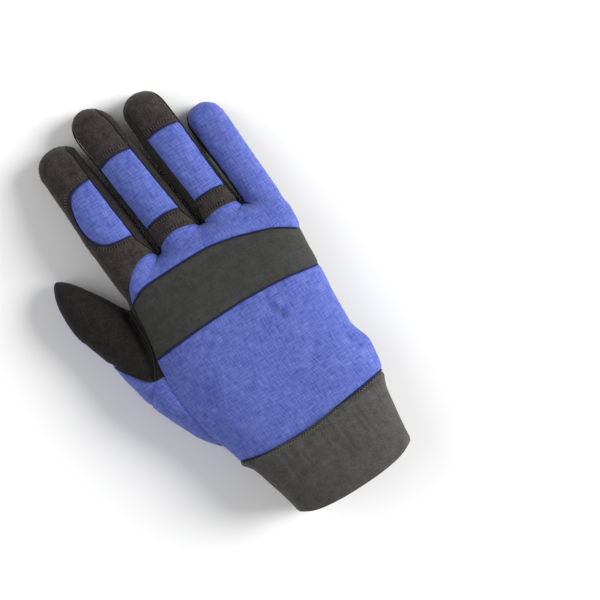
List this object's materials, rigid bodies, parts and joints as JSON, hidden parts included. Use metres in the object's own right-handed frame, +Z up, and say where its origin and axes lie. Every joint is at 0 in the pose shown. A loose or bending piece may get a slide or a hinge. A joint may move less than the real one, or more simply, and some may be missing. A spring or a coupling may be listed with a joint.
{
  "type": "mechanic glove",
  "caption": "Right-hand work glove with a leather palm, padded heel, cloth back, knuckle band and a closing tab under its elastic cuff, lying palm down and open at the wrist.",
  "frame": {"origin": "middle of the glove's box, on the surface that its palm lies on", "axes": "+X towards the little finger, +Y from the wrist to the fingertips, +Z up, away from the palm"},
  "size_m": [0.134, 0.2482, 0.0437],
  "materials": {
    "suede": "napped synthetic suede, brown-black",
    "blue_cloth": "blue stretch cloth with a slubbed weave",
    "knuckle_band": "grey-green padded stretch strip, matt",
    "stretch_side": "dark stretch knit",
    "elastic": "grey gathered elastic",
    "binding": "black woven tape",
    "moulded_tab": "grey moulded rubber, satin",
    "loop_pile": "black loop pile",
    "pale_thread": "pale sewing thread",
    "dark_thread": "dark sewing thread",
    "brown_thread": "brown sewing thread",
    "olive_thread": "olive sewing thread"
  },
  "bodies": {
    "root": {"palm": "suede", "thumb_back": "suede", "index_back": "suede", "middle_strip": "suede", "ring_strip": "suede", "middle_tip": "suede", "ring_tip": "suede", "palm_pad": "suede", "heel_pad": "suede", "thumb_gusset": "blue_cloth", "side_panel": "blue_cloth", "index_inset": "blue_cloth", "middle_back": "blue_cloth", "ring_back": "blue_cloth", "hand_back_upper": "blue_cloth", "hand_back_lower": "blue_cloth", "knuckle_band": "knuckle_band", "fourchette_index_middle": "stretch_side", "fourchette_middle_ring": "stretch_side", "fourchette_ring_little": "stretch_side", "cuff": "elastic", "tab_binding": "binding", "wrist_tab": "moulded_tab", "loop_patch": "loop_pile"}
  },
  "joints": []
}
